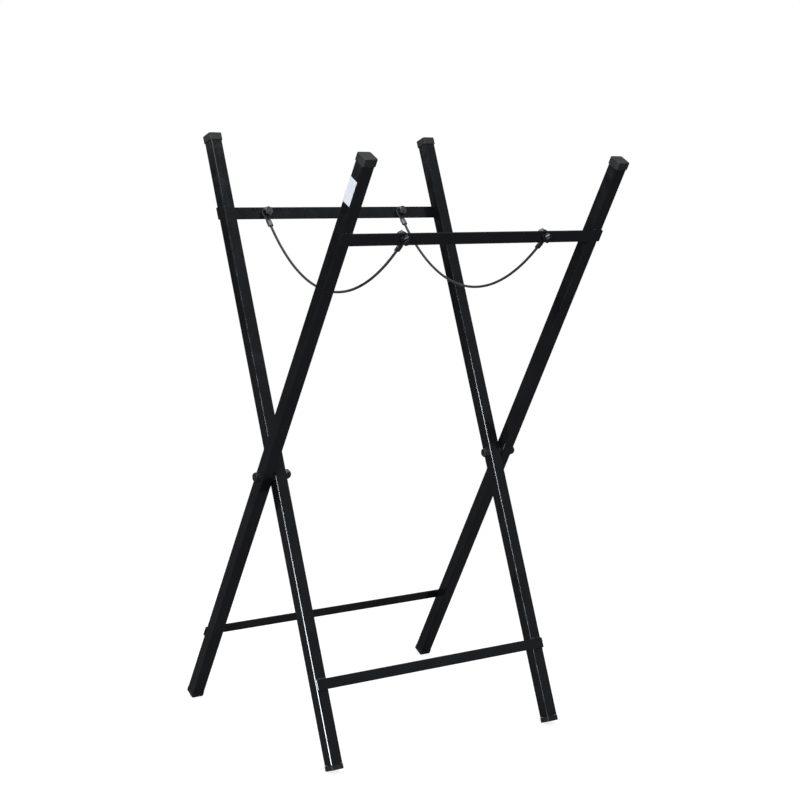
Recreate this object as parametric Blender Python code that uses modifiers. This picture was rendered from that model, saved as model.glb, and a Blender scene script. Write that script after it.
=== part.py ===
"""Folding stand of two crossed frames, with a cradle of two cords.

Two rectangular frames of square steel tube cross like scissors and turn on two bolts. Two cords hang
between the frames' upper bars: they carry the load and stop the frames from opening further.
Metres, +Z up, +X along the pivots' axis, origin on the floor under the middle of the stand.
"""

from math import cos, pi, radians, sin, sqrt, tan

import bmesh
import bpy
from mathutils import Matrix, Vector

# Square tube of the legs
TUBE = 0.020
TUBE_CORNER = 0.002
TUBE_WALL = 0.0015
TUBE_BORE_CORNER = 0.0006

# The two frames
OUTER_WIDTH = 0.476
LEG_GAP = 0.003
LEAN = 25.0
LEG_BELOW_PIVOT = 0.441
LEG_ABOVE_PIVOT = 0.541

# Flat cross bars, welded over the faces of the legs
UPPER_BAR_HEIGHT = 0.019
LOWER_BAR_HEIGHT = 0.016
BAR_THICK = 0.003
BAR_EDGE = 0.0005
UPPER_BAR_FROM_PIVOT = 0.4165
LOWER_BAR_FROM_PIVOT = 0.317

# Sleeve caps on the legs' tops
CAP_SKIRT = 0.0095
CAP_TOP = 0.002
CAP_WALL = 0.001
CAP_CORNER = 0.003
CAP_TOP_EDGE = 0.0012

# Plugs in the legs' lower ends
FOOT_HEAD = 0.008
FOOT_OVERHANG = 0.0004
FOOT_CORNER = 0.0022
FOOT_EDGE = 0.001
FOOT_CORE = 0.0115
FOOT_STEM = 0.016
FOOT_FIN = 0.0015
FOOT_FIN_PITCH = 0.005
FOOT_FINS = 3
FOOT_FIRST_FIN = 0.0035

# M8 bolts, nuts and washers
BOLT = 0.008
BOLT_END_CHAMFER = 0.0007
HEX = 0.013
HEX_CHAMFER = radians(30.0)
HEX_FACE_SHARE = 0.96
HEX_STEPS = 24
HEAD_HEIGHT = 0.0053
NUT_HEIGHT = 0.0065
LOCK_COLLAR = 0.0018
LOCK_COLLAR_WIDTH = 0.0112
THREAD_PAST_NUT = 0.0011
WASHER = 0.016
WASHER_THICK = 0.0016
SPACER = 0.017
CORD_BOLT_FROM_MIDDLE = 0.129
CORD_WASHER = 0.016
CORD_NUT_HEIGHT = 0.004
CORD_THREAD_PAST_NUT = 0.0012

# Cords, their eyes round the bolts and the crimped sleeves that close the eyes
CORD = 0.004
EYE_NECK = 0.0136
EYE_TILT = 20.0
EYE_BEND_FROM = 0.0101
EYE_BEND_RUN = 0.002
EYE_STRAND_END = 0.0096
EYE_OPENING = 58.0
EYE_STEPS = 12
SLEEVE_LENGTH = 0.011
SLEEVE_WALL = 0.0006
SLEEVE_EDGE = 0.0006
CORD_SIDES_RESOLUTION = 2
CORD_POINT_SPACING = 0.009

# Blank label on the outer left leg
LABEL_LENGTH = 0.038
LABEL_WIDTH = 0.018
LABEL_THICK = 0.0002
LABEL_FROM_TOP = 0.055

# Clearances
TOUCH = 0.0003
HOLE_CLEARANCE = 0.0003
BORE_CLEARANCE = 0.0003

ROUND_STEPS = 20
SHANK_STEPS = 20
CORNER_STEPS = 3

# Edges sharper than these angles in degrees stay sharp when a piece is shaded smooth
SHARP = 30
SHARP_PLASTIC = 40
SHARP_CORD = 60

# The free run of a cord between its two sleeves, chosen by hand: places across the stand and
# heights over the floor in metres, from the near side to the middle; the far half mirrors it.
CORD_RUN = [
    (-0.1685, 0.7576), (-0.1625, 0.7518), (-0.1540, 0.7439), (-0.1400, 0.7320), (-0.1230, 0.7194),
    (-0.1040, 0.7074), (-0.0840, 0.6972), (-0.0630, 0.6889), (-0.0420, 0.6831), (-0.0210, 0.6796),
    (0.0, 0.6785),
]

lean = radians(LEAN)
inner_width = OUTER_WIDTH - 2 * (TUBE + LEG_GAP)
foot_half = TUBE / 2 + FOOT_OVERHANG


def foot_rise():
    """How far the rounding of a foot's lower edge lifts its lowest point."""
    drops = []
    for turn in (0.0, pi / 4, pi / 2):
        along = FOOT_EDGE * (1 - sin(turn))
        across = FOOT_EDGE * (1 - cos(turn))
        drops.append(along * cos(lean) + across * sin(lean))
    return min(drops)


pivot_z = LEG_BELOW_PIVOT * cos(lean) + foot_half * sin(lean) - foot_rise()
tube_low = -LEG_BELOW_PIVOT + FOOT_HEAD + TOUCH
tube_high = LEG_ABOVE_PIVOT - CAP_TOP - TOUCH

# Places along a cord bolt, measured from the leg's middle away from the cords
bar_inner = TUBE / 2 + TOUCH
bar_outer = bar_inner + BAR_THICK
eye_middle = bar_inner - TOUCH - CORD / 2
eye_washer = eye_middle - CORD / 2 - TOUCH - WASHER_THICK
cord_head_seat = eye_washer - TOUCH
outer_washer = bar_outer + TOUCH
cord_nut = outer_washer + WASHER_THICK + TOUCH


def clear_scene():
    for ob in list(bpy.data.objects):
        bpy.data.objects.remove(ob, do_unlink=True)


clear_scene()

parts = bpy.data.collections.new("dundun_stand")
cutters = bpy.data.collections.new("cutters")
bpy.context.scene.collection.children.link(parts)
bpy.context.scene.collection.children.link(cutters)


# Materials

def material(name, colour, roughness, metallic=0.0):
    mat = bpy.data.materials.new(name)
    mat.use_nodes = True
    shader = mat.node_tree.nodes["Principled BSDF"]
    shader.inputs["Base Color"].default_value = (*colour, 1.0)
    shader.inputs["Roughness"].default_value = roughness
    shader.inputs["Metallic"].default_value = metallic
    return mat


PAINT = material("black_paint", (0.012, 0.012, 0.013), 0.18)
CAP_PLASTIC = material("cap_plastic", (0.045, 0.047, 0.045), 0.6)
FOOT_PLASTIC = material("foot_plastic", (0.02, 0.02, 0.022), 0.55)
STEEL = material("dark_steel", (0.30, 0.31, 0.32), 0.35, 1.0)
NYLON = material("nylon", (0.03, 0.03, 0.03), 0.5)
CORD_BLACK = material("cord", (0.02, 0.021, 0.025), 0.6)
SLEEVE_METAL = material("sleeve_metal", (0.22, 0.22, 0.23), 0.45, 1.0)
PAPER = material("label_paper", (0.85, 0.86, 0.88), 0.5)


# Frames of reference: local Z runs up along a frame's legs, local X along the pivots' axis

def pivot_empty(name, angle):
    empty = bpy.data.objects.new(name, None)
    empty.location = (0.0, 0.0, pivot_z)
    empty.rotation_euler = (angle, 0.0, 0.0)
    parts.objects.link(empty)
    return empty


outer_axis = pivot_empty("outer_frame_axis", lean)
inner_axis = pivot_empty("inner_frame_axis", -lean)


# Helpers that make one object each

def finish_object(mesh, name, mat, parent, place=(0, 0, 0), turn=(0, 0, 0), smooth=None):
    mesh.name = name
    mesh.materials.clear()
    mesh.materials.append(mat)
    if smooth is not None:
        mesh.shade_smooth()
        mesh.set_sharp_from_angle(angle=radians(smooth))
    ob = bpy.data.objects.new(name, mesh)
    parts.objects.link(ob)
    ob.parent = parent
    ob.location = place
    ob.rotation_euler = turn
    return ob


def mesh_from(bm):
    mesh = bpy.data.meshes.new("shape")
    bmesh.ops.recalc_face_normals(bm, faces=bm.faces)
    bm.to_mesh(mesh)
    bm.free()
    return mesh


def box_mesh(size, corner=0.0, edge=0.0, edge_side=1, corner_steps=CORNER_STEPS, edge_steps=2):
    """A box with its edges along Z rounded by corner, and those round its top (edge_side 1) or
    bottom (-1) or both (0) rounded by edge."""
    bm = bmesh.new()
    bmesh.ops.create_cube(bm, size=1.0)
    bmesh.ops.scale(bm, vec=size, verts=bm.verts)
    if corner > 0.0:
        upright = [e for e in bm.edges if abs(e.verts[0].co.z - e.verts[1].co.z) > size[2] / 2]
        bmesh.ops.bevel(bm, geom=upright, offset=corner, segments=corner_steps, profile=0.5,
                        affect="EDGES")
    if edge > 0.0:
        half = size[2] / 2
        rims = []
        for side in (-1, 1):
            if edge_side in (0, side):
                rims += [e for e in bm.edges
                         if all(abs(v.co.z - side * half) < 1e-7 for v in e.verts)]
        bmesh.ops.bevel(bm, geom=rims, offset=edge, segments=edge_steps, profile=0.5,
                        affect="EDGES")
    return mesh_from(bm)


def cylinder_mesh(width, height, steps=SHANK_STEPS):
    """A cylinder along Z from z=0."""
    bm = bmesh.new()
    bmesh.ops.create_cone(bm, cap_ends=True, segments=steps, radius1=width / 2, radius2=width / 2,
                          depth=height)
    bmesh.ops.translate(bm, vec=(0, 0, height / 2), verts=bm.verts)
    return mesh_from(bm)


def hexagon_mesh(across, height):
    bm = bmesh.new()
    bmesh.ops.create_cone(bm, cap_ends=True, segments=6, radius1=across / sqrt(3),
                          radius2=across / sqrt(3), depth=height)
    bmesh.ops.translate(bm, vec=(0, 0, height / 2), verts=bm.verts)
    return mesh_from(bm)


def turned_mesh(profile, steps=ROUND_STEPS):
    """Turns an open profile of (radius, z) about Z with a Screw modifier; it runs down the outside."""
    mesh = bpy.data.meshes.new("profile")
    mesh.from_pydata([(r, 0.0, z) for r, z in profile], [(i, i + 1) for i in range(len(profile) - 1)], [])
    ob = bpy.data.objects.new("profile", mesh)
    cutters.objects.link(ob)
    mod = ob.modifiers.new("turn", "SCREW")
    mod.steps = steps
    mod.render_steps = steps
    mod.use_merge_vertices = True
    mod.merge_threshold = 0.00001
    mod.use_normal_calculate = False
    got = evaluated_mesh(ob)
    bpy.data.objects.remove(ob, do_unlink=True)
    return got


def evaluated_mesh(ob):
    bpy.context.view_layer.update()
    graph = bpy.context.evaluated_depsgraph_get()
    mesh = bpy.data.meshes.new_from_object(ob.evaluated_get(graph))
    bm = bmesh.new()
    bm.from_mesh(mesh)
    bmesh.ops.remove_doubles(bm, verts=bm.verts, dist=0.000005)
    bm.to_mesh(mesh)
    bm.free()
    return mesh


def ring_mesh(outer, bore, thick, steps=ROUND_STEPS):
    """A flat ring along Z from z=0 to thick: a closed rectangular profile turned about Z."""
    half_bore = bore / 2
    half_outer = outer / 2
    return turned_mesh([(half_outer, thick), (half_outer, 0.0), (half_bore, 0.0),
                        (half_bore, thick), (half_outer, thick)], steps)


def boolean(mesh, other, how, place=Matrix.Identity(4)):
    """The mesh with another mesh taken away from it, joined to it or kept in common with it."""
    ob = bpy.data.objects.new("body", mesh)
    tool = bpy.data.objects.new("tool", other)
    tool.matrix_world = place
    tool.hide_render = True
    tool.display_type = "WIRE"
    cutters.objects.link(ob)
    cutters.objects.link(tool)
    mod = ob.modifiers.new(how.lower(), "BOOLEAN")
    mod.operation = how
    mod.solver = "EXACT"
    mod.object = tool
    got = evaluated_mesh(ob)
    bpy.data.objects.remove(ob, do_unlink=True)
    bpy.data.objects.remove(tool, do_unlink=True)
    return got


def outline_mesh(outlines, height):
    """Closed outlines in the XY plane, the later ones cut out of the first, made height thick."""
    curve = bpy.data.curves.new("outline", "CURVE")
    curve.dimensions = "2D"
    curve.fill_mode = "BOTH"
    curve.extrude = height / 2
    for points in outlines:
        spline = curve.splines.new("POLY")
        spline.points.add(len(points) - 1)
        spline.use_cyclic_u = True
        for place, point in zip(points, spline.points):
            point.co = (place[0], place[1], 0.0, 1.0)
    ob = bpy.data.objects.new("outline", curve)
    cutters.objects.link(ob)
    mesh = evaluated_mesh(ob)
    bpy.data.objects.remove(ob, do_unlink=True)
    return mesh


def tube_along(points, width):
    """A round tube with closed ends through the points."""
    curve = bpy.data.curves.new("run", "CURVE")
    curve.dimensions = "3D"
    curve.bevel_depth = width / 2
    curve.bevel_resolution = CORD_SIDES_RESOLUTION
    curve.use_fill_caps = True
    spline = curve.splines.new("POLY")
    spline.points.add(len(points) - 1)
    for place, point in zip(points, spline.points):
        point.co = (*place, 1.0)
    ob = bpy.data.objects.new("run", curve)
    cutters.objects.link(ob)
    mesh = evaluated_mesh(ob)
    bpy.data.objects.remove(ob, do_unlink=True)
    return mesh


def rounded_square(width, corner, steps):
    points = []
    middle = width / 2 - corner
    for quarter, (sx, sy) in enumerate(((1, 1), (-1, 1), (-1, -1), (1, -1))):
        for k in range(steps + 1):
            turn = (quarter + k / steps) * pi / 2
            points.append((sx * middle + corner * cos(turn), sy * middle + corner * sin(turn)))
    return points


def stadium(length, width, steps=6):
    """An oval with straight sides: its round ends lie at +X and -X."""
    points = []
    reach = (length - width) / 2
    for side, start in ((1, -pi / 2), (-1, pi / 2)):
        for k in range(steps + 1):
            turn = start + pi * k / steps
            points.append((side * reach + width / 2 * cos(turn), width / 2 * sin(turn)))
    return points


def smooth_run(points, spacing):
    """Points at about the given spacing on one smooth curve through the given points."""
    ends = [2 * Vector(points[0]) - Vector(points[1])]
    ends += [Vector(p) for p in points]
    ends += [2 * Vector(points[-1]) - Vector(points[-2])]
    out = [Vector(points[0])]
    for i in range(1, len(ends) - 2):
        a, b, c, d = ends[i - 1:i + 3]
        count = max(1, round((c - b).length / spacing))
        for k in range(1, count + 1):
            t = k / count
            out.append(0.5 * (2 * b + (c - a) * t + (2 * a - 5 * b + 4 * c - d) * t * t
                              + (3 * b - a - 3 * c + d) * t ** 3))
    return out


# Legs

def leg_mesh():
    length = tube_high - tube_low
    mesh = outline_mesh([rounded_square(TUBE, TUBE_CORNER, CORNER_STEPS),
                         rounded_square(TUBE - 2 * TUBE_WALL, TUBE_BORE_CORNER, 1)], length)
    mesh.transform(Matrix.Translation((0, 0, (tube_low + tube_high) / 2)))
    drill = cylinder_mesh(BOLT + 2 * HOLE_CLEARANCE, 2 * TUBE)
    across = Matrix.Rotation(pi / 2, 4, "Y")
    return boolean(mesh, drill, "DIFFERENCE", Matrix.Translation((-TUBE, 0, 0)) @ across)


# Bars

def bar_mesh(length, height, drilled):
    mesh = box_mesh((length, height, BAR_THICK), BAR_EDGE, BAR_EDGE, 0, 1, 1)
    if drilled:
        for side in (-1, 1):
            drill = cylinder_mesh(BOLT + 2 * HOLE_CLEARANCE, 4 * BAR_THICK)
            place = Matrix.Translation((side * CORD_BOLT_FROM_MIDDLE, 0, -2 * BAR_THICK))
            mesh = boolean(mesh, drill, "DIFFERENCE", place)
    return mesh


# Caps and feet

def cap_mesh():
    """The cap's origin is the middle of its top face; it hangs down from there."""
    outer = TUBE + 2 * (BORE_CLEARANCE + CAP_WALL)
    height = CAP_SKIRT + CAP_TOP
    mesh = box_mesh((outer, outer, height), CAP_CORNER, CAP_TOP_EDGE, 1)
    mesh.transform(Matrix.Translation((0, 0, -height / 2)))
    bore = box_mesh((TUBE + 2 * BORE_CLEARANCE, TUBE + 2 * BORE_CLEARANCE, 2 * CAP_SKIRT),
                    TUBE_CORNER)
    return boolean(mesh, bore, "DIFFERENCE", Matrix.Translation((0, 0, -CAP_TOP - CAP_SKIRT)))


def foot_mesh():
    """The foot's origin is the middle of its underside; the stem points up into the tube."""
    head = box_mesh((2 * foot_half, 2 * foot_half, FOOT_HEAD), FOOT_CORNER, FOOT_EDGE, -1)
    head.transform(Matrix.Translation((0, 0, FOOT_HEAD / 2)))
    sunk = FOOT_HEAD / 2
    core = box_mesh((FOOT_CORE, FOOT_CORE, FOOT_STEM + sunk), TUBE_BORE_CORNER, 0.0, 1, 1)
    mesh = boolean(head, core, "UNION", Matrix.Translation((0, 0, FOOT_HEAD + (FOOT_STEM - sunk) / 2)))
    fin_width = TUBE - 2 * TUBE_WALL - 2 * BORE_CLEARANCE
    for k in range(FOOT_FINS):
        fin = box_mesh((fin_width, fin_width, FOOT_FIN), 2 * TUBE_BORE_CORNER, 0.0, 1, 1)
        height = FOOT_HEAD + FOOT_FIRST_FIN + FOOT_FIN_PITCH * k
        mesh = boolean(mesh, fin, "UNION", Matrix.Translation((0, 0, height)))
    return mesh


# Fasteners: each lies along its own Z

def chamfered_hexagon(height, both_ends):
    """A hexagon with the corners of its outer end, or of both ends, turned off."""
    corner = HEX / sqrt(3)
    drop = (corner - HEX / 2) * sin(HEX_CHAMFER) / cos(HEX_CHAMFER)
    flat = HEX / 2 * HEX_FACE_SHARE
    reach = corner + BOLT_END_CHAMFER
    fall = drop * (reach - flat) / (corner - HEX / 2)
    low = [(reach, fall), (flat, 0.0)] if both_ends else [(reach, 0.0)]
    profile = [(0.0, height), (flat, height), (reach, height - fall)] + low + [(0.0, 0.0)]
    return boolean(hexagon_mesh(HEX, height), turned_mesh(profile, HEX_STEPS), "INTERSECT")


def bolt_mesh(shank):
    """The head stands on z=0 and points to -Z; the shank runs to +Z."""
    head = chamfered_hexagon(HEAD_HEIGHT, False)
    head.transform(Matrix.Rotation(pi, 4, "X"))
    tip = BOLT / 2 - BOLT_END_CHAMFER
    pin = turned_mesh([(0.0, shank), (tip, shank), (BOLT / 2, shank - BOLT_END_CHAMFER),
                       (BOLT / 2, -HEAD_HEIGHT / 2), (0.0, -HEAD_HEIGHT / 2)], SHANK_STEPS)
    return boolean(head, pin, "UNION")


def nut_mesh(hexagon, collar):
    mesh = chamfered_hexagon(hexagon, collar == 0.0)
    height = hexagon
    if collar > 0.0:
        round_top = turned_mesh([(0.0, hexagon + collar),
                                 (LOCK_COLLAR_WIDTH / 2 - collar / 3, hexagon + collar),
                                 (LOCK_COLLAR_WIDTH / 2, hexagon + collar * 2 / 3),
                                 (LOCK_COLLAR_WIDTH / 2, hexagon / 2), (0.0, hexagon / 2)],
                                SHANK_STEPS)
        mesh = boolean(mesh, round_top, "UNION")
        height += collar
    drill = cylinder_mesh(BOLT + 2 * TOUCH, 3 * height)
    return boolean(mesh, drill, "DIFFERENCE", Matrix.Translation((0, 0, -height)))


# Cord ends

def eye_lean(out):
    """How far the eye's neck has bent towards the cord at a distance out from its bolt."""
    past = max(0.0, out - EYE_BEND_FROM)
    if past < EYE_BEND_RUN:
        return tan(radians(EYE_TILT)) * past * past / (2 * EYE_BEND_RUN)
    return tan(radians(EYE_TILT)) * (past - EYE_BEND_RUN / 2)


def eye_points():
    """The cord's run round its bolt, in the bolt's own plane, with its neck bent towards the cord.

    X runs along the bar, Y along the bolt towards the cords, Z up along the leg."""
    ring = BOLT / 2 + HOLE_CLEARANCE + CORD / 2
    strand = CORD / 2 + TOUCH / 2
    opening = radians(EYE_OPENING)
    neck = [(strand, eye_lean(out), -out)
            for out in (EYE_NECK, EYE_BEND_FROM + EYE_BEND_RUN, EYE_BEND_FROM + EYE_BEND_RUN / 2,
                        EYE_STRAND_END)]
    loop = []
    for k in range(EYE_STEPS + 1):
        turn = -pi / 2 + opening + (2 * pi - 2 * opening) * k / EYE_STEPS
        loop.append((ring * cos(turn), 0.0, ring * sin(turn)))
    return neck + loop + [(-x, y, z) for x, y, z in reversed(neck)]


def eye_neck_end():
    """Where the sleeve starts, in the same axes as the eye."""
    first = eye_points()[0]
    return Vector((0.0, first[1], first[2]))


def sleeve_mesh():
    """The crimped sleeve hangs along -Z from its origin, at the eye's neck."""
    mesh = outline_mesh([stadium(2 * CORD + TOUCH + 2 * SLEEVE_WALL, CORD + 2 * SLEEVE_WALL)],
                        SLEEVE_LENGTH)
    bm = bmesh.new()
    bm.from_mesh(mesh)
    half = SLEEVE_LENGTH / 2
    rims = [e for e in bm.edges if all(abs(abs(v.co.z) - half) < 1e-7 for v in e.verts)
            and len(e.link_faces) == 2
            and abs(e.link_faces[0].normal.z) + abs(e.link_faces[1].normal.z) < 1.5]
    bmesh.ops.bevel(bm, geom=rims, offset=SLEEVE_EDGE, segments=1, affect="EDGES")
    mesh = mesh_from(bm)
    mesh.transform(Matrix.Translation((0, 0, -half)))
    return mesh


# One frame: legs, bars, caps, feet, cord bolts and cord ends

LEG = leg_mesh()
CAP = cap_mesh()
FOOT = foot_mesh()
CORD_BOLT = bolt_mesh(cord_nut + CORD_NUT_HEIGHT + CORD_THREAD_PAST_NUT - cord_head_seat)
CORD_NUT = nut_mesh(CORD_NUT_HEIGHT, 0.0)
CORD_WASHER_RING = ring_mesh(CORD_WASHER, BOLT + 2 * HOLE_CLEARANCE, WASHER_THICK)
EYE = tube_along(eye_points(), CORD)
SLEEVE = sleeve_mesh()


def build_frame(name, axis, width, near_top):
    """near_top is -1 where the frame's tops are on the near side, as the outer frame's are."""
    leg_x = width / 2 - TUBE / 2
    for side, word in ((-1, "left"), (1, "right")):
        finish_object(LEG.copy(), f"{name}_leg_{word}", PAINT, axis, (side * leg_x, 0, 0), smooth=SHARP)
        finish_object(CAP.copy(), f"{name}_top_cap_{word}", CAP_PLASTIC, axis,
                      (side * leg_x, 0, LEG_ABOVE_PIVOT), smooth=SHARP_PLASTIC)
        finish_object(FOOT.copy(), f"{name}_foot_{word}", FOOT_PLASTIC, axis,
                      (side * leg_x, 0, -LEG_BELOW_PIVOT), smooth=SHARP_PLASTIC)
    bar_y = (bar_inner + bar_outer) / 2
    lie = (pi / 2, 0, 0)
    finish_object(bar_mesh(width, UPPER_BAR_HEIGHT, True), f"{name}_upper_bar", PAINT, axis,
                  (0, near_top * bar_y, UPPER_BAR_FROM_PIVOT), lie, smooth=SHARP)
    finish_object(bar_mesh(width, LOWER_BAR_HEIGHT, False), f"{name}_lower_bar", PAINT, axis,
                  (0, -near_top * bar_y, -LOWER_BAR_FROM_PIVOT), lie, smooth=SHARP)
    # A fastener's own Z points outwards, away from the cords
    outwards = (-near_top * pi / 2, 0, 0)
    flip = 0.0 if near_top < 0 else pi
    for side, word in ((-1, "left"), (1, "right")):
        bolt_x = side * CORD_BOLT_FROM_MIDDLE

        def at(distance):
            return (bolt_x, near_top * distance, UPPER_BAR_FROM_PIVOT)

        finish_object(CORD_BOLT.copy(), f"{name}_cord_bolt_{word}", STEEL, axis,
                      at(cord_head_seat), outwards, smooth=SHARP)
        finish_object(CORD_NUT.copy(), f"{name}_cord_nut_{word}", STEEL, axis,
                      at(cord_nut), outwards, smooth=SHARP)
        finish_object(CORD_WASHER_RING.copy(), f"{name}_cord_washer_{word}", STEEL, axis,
                      at(outer_washer), outwards, smooth=SHARP)
        finish_object(CORD_WASHER_RING.copy(), f"{name}_eye_washer_{word}", STEEL, axis,
                      at(eye_washer), outwards, smooth=SHARP)
        place = at(eye_middle)
        turn = Matrix.Rotation(flip, 3, "Z")
        finish_object(EYE.copy(), f"{name}_cord_eye_{word}", CORD_BLACK, axis, place,
                      turn.to_euler(), smooth=SHARP_CORD)
        neck = turn @ eye_neck_end()
        tilt = Matrix.Rotation(radians(EYE_TILT), 3, "X")
        gap = turn @ tilt @ Vector((0, 0, -TOUCH))
        finish_object(SLEEVE.copy(), f"{name}_cord_sleeve_{word}", SLEEVE_METAL, axis,
                      Vector(place) + neck + gap, (turn @ tilt).to_euler(), smooth=SHARP_PLASTIC)


build_frame("outer", outer_axis, OUTER_WIDTH, -1)
build_frame("inner", inner_axis, inner_width, 1)


# Pivots: each bolt lies along X with its head on the -X side of its pair of legs

def build_pivot(word, low_x):
    """low_x is the -X face of the pair of legs."""
    pair = 2 * TUBE + LEG_GAP
    high_x = low_x + pair
    along = (0, pi / 2, 0)
    washer = ring_mesh(WASHER, BOLT + 2 * HOLE_CLEARANCE, WASHER_THICK)
    spacer = ring_mesh(SPACER, BOLT + 2 * HOLE_CLEARANCE, LEG_GAP - 2 * TOUCH)
    head_seat = low_x - TOUCH - WASHER_THICK - TOUCH
    nut_seat = high_x + TOUCH + WASHER_THICK + TOUCH
    shank = nut_seat + NUT_HEIGHT + LOCK_COLLAR + THREAD_PAST_NUT - head_seat
    spacer_x = low_x + TUBE + TOUCH
    finish_object(bolt_mesh(shank), f"pivot_bolt_{word}", STEEL, outer_axis, (head_seat, 0, 0), along,
                  smooth=SHARP)
    finish_object(washer, f"pivot_head_washer_{word}", STEEL, outer_axis,
                  (low_x - TOUCH - WASHER_THICK, 0, 0), along, smooth=SHARP)
    finish_object(spacer, f"pivot_spacer_{word}", NYLON, outer_axis, (spacer_x, 0, 0), along, smooth=SHARP)
    finish_object(washer.copy(), f"pivot_nut_washer_{word}", STEEL, outer_axis,
                  (high_x + TOUCH, 0, 0), along, smooth=SHARP)
    finish_object(nut_mesh(NUT_HEIGHT, LOCK_COLLAR), f"pivot_nut_{word}", STEEL, outer_axis,
                  (nut_seat, 0, 0), along, smooth=SHARP)


build_pivot("left", -OUTER_WIDTH / 2)
build_pivot("right", inner_width / 2 - TUBE)


# Cords

def build_cord(word, x):
    near = [Vector((x, y, z)) for y, z in CORD_RUN]
    far = [Vector((x, -y, z)) for y, z in reversed(CORD_RUN[:-1])]
    mesh = tube_along(smooth_run(near + far, CORD_POINT_SPACING), CORD)
    finish_object(mesh, f"cord_{word}", CORD_BLACK, None, smooth=SHARP_CORD)


build_cord("left", -CORD_BOLT_FROM_MIDDLE)
build_cord("right", CORD_BOLT_FROM_MIDDLE)


# Label, blank, on the side of the outer left leg

label = box_mesh((LABEL_WIDTH, LABEL_LENGTH, LABEL_THICK))
finish_object(label, "blank_label", PAPER, outer_axis,
              (-OUTER_WIDTH / 2 - TOUCH - LABEL_THICK / 2, 0, LEG_ABOVE_PIVOT - LABEL_FROM_TOP),
              Matrix(((0, 0, -1), (1, 0, 0), (0, 1, 0))).to_euler())
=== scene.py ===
"""The folding stand, dressed: its camera, cords, welds, threads, materials and studio.

Metres, +Z up, +X along the pivots' axis. The near side is -Y, where the outer frame's tops are.
"""

from math import cos, pi, radians, sin

import bmesh
import bpy
from mathutils import Matrix, Vector


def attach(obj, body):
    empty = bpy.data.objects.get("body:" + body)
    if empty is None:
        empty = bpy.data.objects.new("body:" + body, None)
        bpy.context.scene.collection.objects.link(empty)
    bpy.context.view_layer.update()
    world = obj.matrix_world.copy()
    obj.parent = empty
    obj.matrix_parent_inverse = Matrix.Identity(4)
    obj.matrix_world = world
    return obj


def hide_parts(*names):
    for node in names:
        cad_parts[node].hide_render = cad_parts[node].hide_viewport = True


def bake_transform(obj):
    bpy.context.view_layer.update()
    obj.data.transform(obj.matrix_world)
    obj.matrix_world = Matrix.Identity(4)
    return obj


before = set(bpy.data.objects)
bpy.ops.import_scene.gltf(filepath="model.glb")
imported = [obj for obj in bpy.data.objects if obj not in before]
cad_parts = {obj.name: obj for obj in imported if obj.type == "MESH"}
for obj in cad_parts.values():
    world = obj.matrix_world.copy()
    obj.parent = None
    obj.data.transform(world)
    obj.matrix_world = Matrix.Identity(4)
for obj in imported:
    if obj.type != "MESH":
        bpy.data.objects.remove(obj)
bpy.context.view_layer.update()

# Sizes and places that the pieces here share with the frames; heights run along the legs from
# the pivot, and faces and ends lie that far from the legs' middle
PIVOT_Z = 0.403688
LEAN = radians(25.0)
TUBE = 0.020
OUTER_WIDTH = 0.476
INNER_WIDTH = 0.430
UPPER_BAR_HEIGHT = 0.019
LOWER_BAR_HEIGHT = 0.016
BAR_INNER = 0.0103
UPPER_BAR = 0.4165
LOWER_BAR = -0.317
CORD_X = 0.129
CORD = 0.004
CORD_NUT_FACE = 0.0195
CORD_BOLT_END = 0.0207
BOLT = 0.008

# The camera: its place, its yaw, pitch and roll, and its focal length in pixels
IMAGE_WIDTH = 800
SENSOR = 36.0
CAMERA_AT = (-1.581856, -2.177418, 1.01403)
CAMERA_YAW = radians(-36.24)
CAMERA_PITCH = radians(-10.721)
CAMERA_ROLL = radians(3.015)
CAMERA_FOCAL = 1764.77
CAMERA_CLIP = (0.05, 60.0)

# The free run of each cord between its two sleeves: places across the stand and heights over
# the floor, from the near side to the middle; the far half mirrors it
CORD_RUN = [
    (-0.1685, 0.7576), (-0.1625, 0.7518), (-0.1540, 0.7439), (-0.1400, 0.7320), (-0.1230, 0.7194),
    (-0.1040, 0.7074), (-0.0840, 0.6972), (-0.0630, 0.6889), (-0.0420, 0.6831), (-0.0210, 0.6796),
    (0.0, 0.6785),
]
CORD_RING_STEP = 0.0007
CORD_SIDES = 24
BRAID_STRANDS = 8
BRAID_PITCH = 0.0075
BRAID_DEPTH = 0.03

# Welds: the radius swells from WELD_VALLEY of its full size over each ripple and starts at
# WELD_END of it at a bead's ends; the shifts keep the beads from looking alike
WELD_RADIUS = 0.0017
WELD_RIPPLE = 0.0022
WELD_STEP = 0.0004
WELD_SIDES = 10
WELD_SHORT = 0.0012
WELD_VALLEY = 0.82
WELD_END = 0.35
WELD_WANDER = 0.00022
WELD_WANDER_TURN = 17.0
WELD_WANDER_SHIFT = 5.0
WELD_LEG_SHIFT = 0.37
WELD_EDGE_SHIFT = 0.21

# Threads on the cord bolts' ends: they start inside the nut and stop short of the bolt's end
THREAD_PITCH = 0.00125
THREAD_SIDES = 28
THREAD_STEPS = 8
THREAD_DEPTH = 0.0003
THREAD_PROUD = 0.00012
THREAD_INSIDE_NUT = 0.0005
THREAD_SHORT = 0.0001

# Studio
FLOOR_REACH = 14.0
FLOOR_FADE = (0.55, 1.5)
FLOOR_GLOW = 0.80
FLOOR_PALE = (0.42, 0.42, 0.42, 1.0)
FLOOR_DIM = (0.12, 0.12, 0.125, 1.0)
ROOM_COLOUR = (0.9, 0.95, 1.0, 1.0)
ROOM_STRENGTH = 0.15
WHITE = (1.0, 1.0, 1.0, 1.0)

# The colour sockets of a Mix node, which share their names with its number sockets
MIX_FACTOR, MIX_LOW, MIX_HIGH, MIX_RESULT = 0, 6, 7, 2


# Camera

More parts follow.
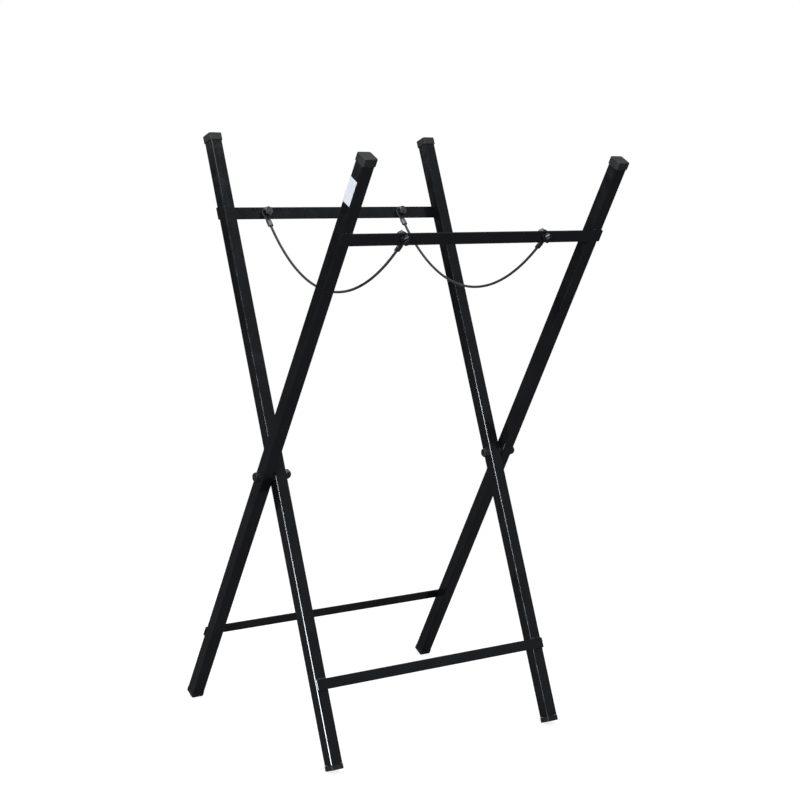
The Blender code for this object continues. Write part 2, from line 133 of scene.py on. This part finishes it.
def make_camera():
    level = Vector((cos(CAMERA_YAW), sin(CAMERA_YAW), 0.0))
    forward = Vector((-sin(CAMERA_YAW) * cos(CAMERA_PITCH), cos(CAMERA_YAW) * cos(CAMERA_PITCH),
                      sin(CAMERA_PITCH)))
    above = level.cross(forward)
    right = level * cos(CAMERA_ROLL) + above * sin(CAMERA_ROLL)
    up = above * cos(CAMERA_ROLL) - level * sin(CAMERA_ROLL)
    data = bpy.data.cameras.new("camera")
    data.sensor_width = SENSOR
    data.lens = CAMERA_FOCAL * SENSOR / IMAGE_WIDTH
    data.clip_start, data.clip_end = CAMERA_CLIP
    ob = bpy.data.objects.new("camera", data)
    axes = Matrix((right, up, -forward)).transposed().to_4x4()
    ob.matrix_world = Matrix.Translation(CAMERA_AT) @ axes
    bpy.context.scene.collection.objects.link(ob)
    bpy.context.scene.camera = ob


make_camera()


# Materials

def new_node(tree, kind, **inputs):
    """A shader node with some input sockets set; an underscore stands for a space in their names."""
    node = tree.nodes.new("ShaderNode" + kind)
    for name, value in inputs.items():
        node.inputs[name.replace("_", " ")].default_value = value
    return node


class Look:
    """One material and the short calls that wire its nodes."""

    def __init__(self, name, colour, roughness, metallic=0.0):
        self.mat = bpy.data.materials.new(name)
        self.mat.use_nodes = True
        self.tree = self.mat.node_tree
        self.shader = self.tree.nodes["Principled BSDF"]
        self.shader.inputs["Base Color"].default_value = (*colour, 1.0)
        self.shader.inputs["Roughness"].default_value = roughness
        self.shader.inputs["Metallic"].default_value = metallic
        self.coords = new_node(self.tree, "TexCoord")

    def noise(self, scale, detail=3.0, rough=0.5, stretch=None, source="Object"):
        node = new_node(self.tree, "TexNoise", Scale=scale, Detail=detail, Roughness=rough)
        out = self.coords.outputs[source]
        if stretch:
            mapping = new_node(self.tree, "Mapping", Scale=stretch)
            self.tree.links.new(out, mapping.inputs["Vector"])
            out = mapping.outputs["Vector"]
        self.tree.links.new(out, node.inputs["Vector"])
        return node.outputs["Fac"]

    def ramp(self, value, low, high, at=(0.3, 0.7)):
        node = new_node(self.tree, "ValToRGB")
        for element, place, colour in zip(node.color_ramp.elements, at, (low, high)):
            element.position = place
            element.color = (*colour, 1.0)
        self.tree.links.new(value, node.inputs["Fac"])
        return node.outputs["Color"]

    def range(self, value, low, high, at=(0.3, 0.7)):
        node = new_node(self.tree, "MapRange", From_Min=at[0], From_Max=at[1], To_Min=low,
                        To_Max=high)
        self.tree.links.new(value, node.inputs["Value"])
        return node.outputs["Result"]

    def mix(self, factor, low, high):
        """Blends a linked colour into a plain one as the factor rises."""
        node = new_node(self.tree, "Mix")
        node.data_type = "RGBA"
        self.tree.links.new(factor, node.inputs[MIX_FACTOR])
        self.tree.links.new(low, node.inputs[MIX_LOW])
        node.inputs[MIX_HIGH].default_value = (*high, 1.0)
        return node.outputs[MIX_RESULT]

    def drive(self, socket, source):
        self.tree.links.new(source, self.shader.inputs[socket])

    def bump(self, height, distance, strength):
        node = new_node(self.tree, "Bump", Distance=distance, Strength=strength)
        self.tree.links.new(height, node.inputs["Height"])
        self.drive("Normal", node.outputs["Normal"])


def paint_look():
    """Black gloss powder coat: a faint orange peel, dull patches and small rubbed spots."""
    look = Look("gloss_paint", (0.006, 0.006, 0.007), 0.16)
    patches = look.noise(scale=22.0, detail=4.0)
    rubs = look.noise(scale=160.0, detail=6.0, rough=0.65, stretch=(1.0, 1.0, 0.25))
    base = look.ramp(patches, (0.0045, 0.0045, 0.0052), (0.0085, 0.0088, 0.0098))
    worn = look.range(rubs, 0.0, 1.0, at=(0.69, 0.76))
    look.drive("Base Color", look.mix(worn, base, (0.03, 0.03, 0.032)))
    look.drive("Roughness", look.range(look.noise(scale=60.0, detail=5.0), 0.10, 0.24))
    look.bump(look.noise(scale=420.0, detail=2.0), distance=0.00004, strength=0.35)
    look.shader.inputs["Coat Weight"].default_value = 0.5
    look.shader.inputs["Coat Roughness"].default_value = 0.12
    return look.mat


def cap_look():
    """Dark grey moulded plastic with a fine grain, paler where hands rub it."""
    look = Look("cap_plastic", (0.022, 0.023, 0.022), 0.62)
    rub = look.noise(scale=70.0, detail=5.0)
    look.drive("Base Color", look.ramp(rub, (0.016, 0.017, 0.016), (0.030, 0.032, 0.030)))
    look.drive("Roughness", look.range(look.noise(scale=240.0, detail=4.0), 0.5, 0.74))
    look.bump(look.noise(scale=2200.0, detail=2.0), distance=0.00006, strength=0.5)
    return look.mat


def foot_look():
    """Black plastic, scuffed to a dusty grey in streaks."""
    look = Look("foot_plastic", (0.016, 0.016, 0.018), 0.5)
    scuffs = look.noise(scale=190.0, detail=6.0, rough=0.7, stretch=(1.0, 1.0, 2.5))
    look.drive("Base Color", look.ramp(scuffs, (0.012, 0.012, 0.013), (0.06, 0.058, 0.055),
                                       at=(0.52, 0.72)))
    look.drive("Roughness", look.range(look.noise(scale=90.0, detail=4.0), 0.4, 0.7))
    look.bump(look.noise(scale=1500.0, detail=3.0), distance=0.00005, strength=0.5)
    return look.mat


def steel_look():
    """Dull zinc-plated steel, darkened unevenly and fine-scratched."""
    look = Look("zinc_steel", (0.30, 0.31, 0.33), 0.34, 1.0)
    stain = look.noise(scale=130.0, detail=6.0, rough=0.6)
    look.drive("Base Color", look.ramp(stain, (0.05, 0.05, 0.055), (0.24, 0.25, 0.26)))
    look.drive("Roughness", look.range(look.noise(scale=500.0, detail=4.0), 0.24, 0.5))
    scratches = look.noise(scale=900.0, detail=3.0, rough=0.6, stretch=(6.0, 1.0, 1.0))
    look.bump(scratches, distance=0.00003, strength=0.6)
    return look.mat


def nylon_look():
    look = Look("nylon", (0.03, 0.03, 0.03), 0.5)
    tone = look.noise(scale=150.0, detail=3.0)
    look.drive("Base Color", look.ramp(tone, (0.02, 0.02, 0.02), (0.045, 0.045, 0.043)))
    look.bump(look.noise(scale=1300.0, detail=2.0), distance=0.00004, strength=0.4)
    return look.mat


def cord_look(name, source, fibre_scale):
    """Black braided cord: fine fibres across the plait, a soft sheen, paler fuzz."""
    look = Look(name, (0.02, 0.021, 0.024), 0.62)
    fibres = look.noise(scale=fibre_scale, detail=3.0, rough=0.6, source=source)
    tone = look.noise(scale=120.0, detail=4.0)
    base = look.ramp(tone, (0.012, 0.013, 0.015), (0.03, 0.031, 0.035))
    fuzz = look.range(fibres, 0.0, 0.5)
    look.drive("Base Color", look.mix(fuzz, base, (0.055, 0.056, 0.06)))
    look.drive("Roughness", look.range(fibres, 0.5, 0.78))
    look.bump(fibres, distance=0.00008, strength=0.5)
    look.shader.inputs["Sheen Weight"].default_value = 0.15
    look.shader.inputs["Sheen Roughness"].default_value = 0.5
    return look.mat


def sleeve_look():
    """Dark crimped metal with press marks."""
    look = Look("sleeve_metal", (0.2, 0.2, 0.21), 0.42, 1.0)
    tone = look.noise(scale=200.0, detail=5.0)
    look.drive("Base Color", look.ramp(tone, (0.09, 0.09, 0.1), (0.26, 0.26, 0.27)))
    look.drive("Roughness", look.range(look.noise(scale=420.0, detail=3.0), 0.32, 0.58))
    look.bump(look.noise(scale=420.0, detail=2.0), distance=0.00008, strength=0.5)
    return look.mat


def paper_look():
    """A blank white label: faint fibres, a little grime and slightly cockled."""
    look = Look("label_paper", (0.82, 0.84, 0.87), 0.45)
    grime = look.noise(scale=130.0, detail=5.0, rough=0.6)
    look.drive("Base Color", look.ramp(grime, (0.90, 0.92, 0.96), (0.80, 0.82, 0.86),
                                       at=(0.45, 0.8)))
    look.drive("Roughness", look.range(look.noise(scale=300.0, detail=2.0), 0.38, 0.55))
    look.bump(look.noise(scale=180.0, detail=2.0), distance=0.00010, strength=0.3)
    return look.mat


def weld_look():
    """The same paint over a weld: rounder, thicker and a little rougher."""
    look = Look("painted_weld", (0.007, 0.007, 0.008), 0.22)
    tone = look.noise(scale=300.0, detail=4.0)
    look.drive("Base Color", look.ramp(tone, (0.005, 0.005, 0.006), (0.012, 0.012, 0.013)))
    look.drive("Roughness", look.range(look.noise(scale=500.0, detail=3.0), 0.14, 0.34))
    look.bump(look.noise(scale=1100.0, detail=2.0), distance=0.00006, strength=0.4)
    return look.mat


PAINT = paint_look()
CAP = cap_look()
FOOT = foot_look()
STEEL = steel_look()
NYLON = nylon_look()
CORD_LOOK = cord_look("cord_braid", "UV", fibre_scale=900.0)
EYE_LOOK = cord_look("cord_eye_braid", "Object", fibre_scale=2600.0)
SLEEVE = sleeve_look()
PAPER = paper_look()
WELD = weld_look()


def look_for(node):
    if node.startswith("blank_label"):
        return PAPER
    if "_cap_" in node:
        return CAP
    if "_foot_" in node:
        return FOOT
    if "_leg_" in node or node.endswith("_bar"):
        return PAINT
    if "spacer" in node:
        return NYLON
    if "sleeve" in node:
        return SLEEVE
    if "cord_eye" in node:
        return EYE_LOOK
    if node in ("cord_left", "cord_right"):
        return CORD_LOOK
    return STEEL


for name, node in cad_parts.items():
    node.data.materials.clear()
    node.data.materials.append(look_for(name))


# Helpers

def frame_matrix(name):
    """The place of a frame's own axes: local Z runs up along its legs."""
    lean = LEAN if name == "outer" else -LEAN
    return Matrix.Translation((0, 0, PIVOT_Z)) @ Matrix.Rotation(lean, 4, "X")


def skin(bm, rings):
    """Joins rings of vertices into a tube with closed ends; gives back the faces of its side."""
    faces = []
    for low, high in zip(rings, rings[1:]):
        for k in range(len(low)):
            n = (k + 1) % len(low)
            faces.append(bm.faces.new((low[k], low[n], high[n], high[k])))
    bm.faces.new(list(reversed(rings[0])))
    bm.faces.new(rings[-1])
    return faces


def piece_from(bm, name, mat, smooth=True):
    mesh = bpy.data.meshes.new(name)
    bmesh.ops.recalc_face_normals(bm, faces=bm.faces)
    bm.to_mesh(mesh)
    bm.free()
    mesh.materials.append(mat)
    if smooth:
        mesh.shade_smooth()
    ob = bpy.data.objects.new(name, mesh)
    bpy.context.scene.collection.objects.link(ob)
    return ob


def smooth_run(points, spacing):
    """Points at about the given spacing on one smooth curve through the given points."""
    ends = [2 * points[0] - points[1]] + points + [2 * points[-1] - points[-2]]
    out = [points[0].copy()]
    for i in range(1, len(ends) - 2):
        a, b, c, d = ends[i - 1:i + 3]
        count = max(1, round((c - b).length / spacing))
        for k in range(1, count + 1):
            t = k / count
            out.append(0.5 * (2 * b + (c - a) * t + (2 * a - 5 * b + 4 * c - d) * t * t
                              + (3 * b - a - 3 * c + d) * t ** 3))
    return out


def braided_tube(path, sideways):
    """A round cord along a path in one plane, whose surface rises and falls as a plait's does."""
    bm = bmesh.new()
    layer = bm.loops.layers.uv.new("run")
    rings = []
    along = 0.0
    lengths = []
    for i, point in enumerate(path):
        if i:
            along += (point - path[i - 1]).length
        ahead = path[min(i + 1, len(path) - 1)] - path[max(i - 1, 0)]
        out = ahead.normalized().cross(sideways).normalized()
        ring = []
        for k in range(CORD_SIDES):
            turn = 2 * pi * k / CORD_SIDES
            phase = 2 * pi * along / BRAID_PITCH
            lift = sin(BRAID_STRANDS / 2 * turn + phase) * sin(BRAID_STRANDS / 2 * turn - phase)
            radius = CORD / 2 * (1 - BRAID_DEPTH + BRAID_DEPTH * abs(lift))
            ring.append(bm.verts.new(point + radius * (cos(turn) * sideways + sin(turn) * out)))
        rings.append(ring)
        lengths.append(along)
    for number, face in enumerate(skin(bm, rings)):
        i, k = divmod(number, CORD_SIDES)
        spots = ((k, i), (k + 1, i), (k + 1, i + 1), (k, i + 1))
        for loop, (side, row) in zip(face.loops, spots):
            loop[layer].uv = (side / CORD_SIDES * pi * CORD, lengths[row])
    return bm


# Cords

def make_cord(word, x):
    near = [Vector((x, y, z)) for y, z in CORD_RUN]
    far = [Vector((x, -y, z)) for y, z in reversed(CORD_RUN[:-1])]
    path = smooth_run(near + far, CORD_RING_STEP)
    ob = piece_from(braided_tube(path, Vector((1, 0, 0))), f"cord_{word}_braided", CORD_LOOK)
    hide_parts(f"cord_{word}")
    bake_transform(ob)


make_cord("left", -CORD_X)
make_cord("right", CORD_X)


# Welds: a rippled bead along both edges of each bar where it crosses a leg

def add_bead(bm, matrix, start, end, shift):
    """One bead from start to end in the frame's own axes; its ripples overlap like scales."""
    run = end - start
    count = int(run.length / WELD_STEP)
    rings = []
    for i in range(count + 1):
        along = run.length * i / count
        phase = (along / WELD_RIPPLE + shift) % 1.0
        near_end = min(along, run.length - along) / (2 * WELD_RADIUS)
        fade = min(1.0, near_end + WELD_END)
        radius = WELD_RADIUS * (WELD_VALLEY + (1 - WELD_VALLEY) * phase) * fade
        wander = WELD_WANDER * sin(WELD_WANDER_TURN * along / TUBE + WELD_WANDER_SHIFT * shift)
        centre = start + run * (i / count)
        ring = []
        for k in range(WELD_SIDES):
            turn = 2 * pi * k / WELD_SIDES
            spot = centre + Vector((0, radius * cos(turn), radius * sin(turn) + wander))
            ring.append(bm.verts.new(matrix @ spot))
        rings.append(ring)
    skin(bm, rings)


def make_welds(name, which, height, bar_height, side, width):
    """The four beads of one bar; side is -1 where the bar lies on the near faces of the legs."""
    bm = bmesh.new()
    matrix = frame_matrix(name)
    for number, leg in enumerate((-1, 1)):
        middle = leg * (width - TUBE) / 2
        for edge in (-1, 1):
            z = height + edge * bar_height / 2
            y = side * BAR_INNER
            start = Vector((middle - TUBE / 2 + WELD_SHORT, y, z))
            end = Vector((middle + TUBE / 2 - WELD_SHORT, y, z))
            add_bead(bm, matrix, start, end, WELD_LEG_SHIFT * number + WELD_EDGE_SHIFT * edge)
    ob = piece_from(bm, f"{name}_{which}_bar_welds", WELD)
    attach(ob, f"{name}_frame")


make_welds("outer", "upper", UPPER_BAR, UPPER_BAR_HEIGHT, -1, OUTER_WIDTH)
make_welds("outer", "lower", LOWER_BAR, LOWER_BAR_HEIGHT, 1, OUTER_WIDTH)
make_welds("inner", "upper", UPPER_BAR, UPPER_BAR_HEIGHT, 1, INNER_WIDTH)
make_welds("inner", "lower", LOWER_BAR, LOWER_BAR_HEIGHT, -1, INNER_WIDTH)


# Threads

def make_thread(name, matrix, length, body):
    """A helical ridge wrapped round a bolt's end; matrix puts its start, with Z along the bolt."""
    bm = bmesh.new()
    rings = []
    count = int(length / THREAD_PITCH * THREAD_STEPS)
    for i in range(count + 1):
        z = length * i / count
        ring = []
        for k in range(THREAD_SIDES):
            share = (z / THREAD_PITCH - k / THREAD_SIDES) % 1.0
            radius = BOLT / 2 + THREAD_PROUD - THREAD_DEPTH * abs(2 * share - 1)
            turn = 2 * pi * k / THREAD_SIDES
            ring.append(bm.verts.new(matrix @ Vector((radius * cos(turn), radius * sin(turn), z))))
        rings.append(ring)
    skin(bm, rings)
    ob = piece_from(bm, name, STEEL, smooth=False)
    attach(ob, body)


thread_length = CORD_BOLT_END - CORD_NUT_FACE + THREAD_INSIDE_NUT - THREAD_SHORT
for name, side in (("outer", -1), ("inner", 1)):
    for word, x in (("left", -CORD_X), ("right", CORD_X)):
        start = Matrix.Translation((x, side * (CORD_NUT_FACE - THREAD_INSIDE_NUT), UPPER_BAR))
        outwards = Matrix.Rotation(-side * pi / 2, 4, "X")
        make_thread(f"{name}_cord_bolt_thread_{word}", frame_matrix(name) @ start @ outwards,
                    thread_length, f"{name}_frame")


# Studio

def clear_tree(owner):
    owner.use_nodes = True
    owner.node_tree.nodes.clear()
    return owner.node_tree


def mix_by(tree, factor, low, high):
    """A shader that turns from low into high as the factor, an output socket, rises to one."""
    mix = new_node(tree, "MixShader")
    tree.links.new(factor, mix.inputs["Fac"])
    tree.links.new(low.outputs[0], mix.inputs[1])
    tree.links.new(high.outputs[0], mix.inputs[2])
    return mix


def make_floor():
    """A pale floor: white to the camera, with soft shadows round the feet, and darker in the
    paint's reflections. Away from the stand it turns into plain white."""
    bm = bmesh.new()
    bmesh.ops.create_grid(bm, x_segments=1, y_segments=1, size=FLOOR_REACH)
    mat = bpy.data.materials.new("floor")
    tree = clear_tree(mat)
    out = new_node(tree, "OutputMaterial")
    rays = new_node(tree, "LightPath")
    near = new_node(tree, "AddShader")
    pale = new_node(tree, "BsdfDiffuse", Color=FLOOR_PALE)
    glow = new_node(tree, "Emission", Strength=FLOOR_GLOW)
    white = new_node(tree, "Emission", Strength=1.0)
    dim = new_node(tree, "BsdfDiffuse", Color=FLOOR_DIM)
    place = new_node(tree, "TexCoord")
    distance = new_node(tree, "VectorMath")
    distance.operation = "LENGTH"
    fade = new_node(tree, "MapRange", From_Min=FLOOR_FADE[0], From_Max=FLOOR_FADE[1])
    fade.interpolation_type = "SMOOTHSTEP"
    tree.links.new(place.outputs["Object"], distance.inputs[0])
    tree.links.new(distance.outputs["Value"], fade.inputs["Value"])
    tree.links.new(pale.outputs[0], near.inputs[0])
    tree.links.new(glow.outputs[0], near.inputs[1])
    seen = mix_by(tree, fade.outputs["Result"], near, white)
    both = mix_by(tree, rays.outputs["Is Camera Ray"], dim, seen)
    tree.links.new(both.outputs[0], out.inputs["Surface"])
    ob = piece_from(bm, "floor", mat, smooth=False)


def make_world():
    """White to the camera and a dim, cool room to every other ray."""
    world = bpy.data.worlds.new("studio")
    bpy.context.scene.world = world
    tree = clear_tree(world)
    out = new_node(tree, "OutputWorld")
    rays = new_node(tree, "LightPath")
    room = new_node(tree, "Background", Color=ROOM_COLOUR, Strength=ROOM_STRENGTH)
    white = new_node(tree, "Background", Color=WHITE, Strength=1.0)
    both = mix_by(tree, rays.outputs["Is Camera Ray"], room, white)
    tree.links.new(both.outputs[0], out.inputs["Surface"])


def make_light(name, place, target, size, power, colour=(1.0, 1.0, 1.0)):
    data = bpy.data.lights.new(name, "AREA")
    data.shape = "RECTANGLE"
    data.size, data.size_y = size
    data.energy = power
    data.color = colour
    ob = bpy.data.objects.new(name, data)
    ob.location = place
    ob.rotation_euler = (Vector(target) - Vector(place)).to_track_quat("-Z", "Y").to_euler()
    bpy.context.scene.collection.objects.link(ob)


make_floor()
make_world()
make_light("key", place=(-3.2, -1.9, 1.0), target=(0, 0, 0.4), size=(0.45, 2.3), power=115.0,
           colour=(0.90, 0.94, 1.0))
make_light("top", place=(0.3, -0.6, 3.6), target=(0, 0, 0.4), size=(3.0, 3.0), power=70.0)
make_light("fill", place=(-2.2, 3.2, 1.6), target=(0, 0, 0.5), size=(1.4, 1.4), power=12.0)

bpy.context.scene.view_settings.view_transform = "Standard"
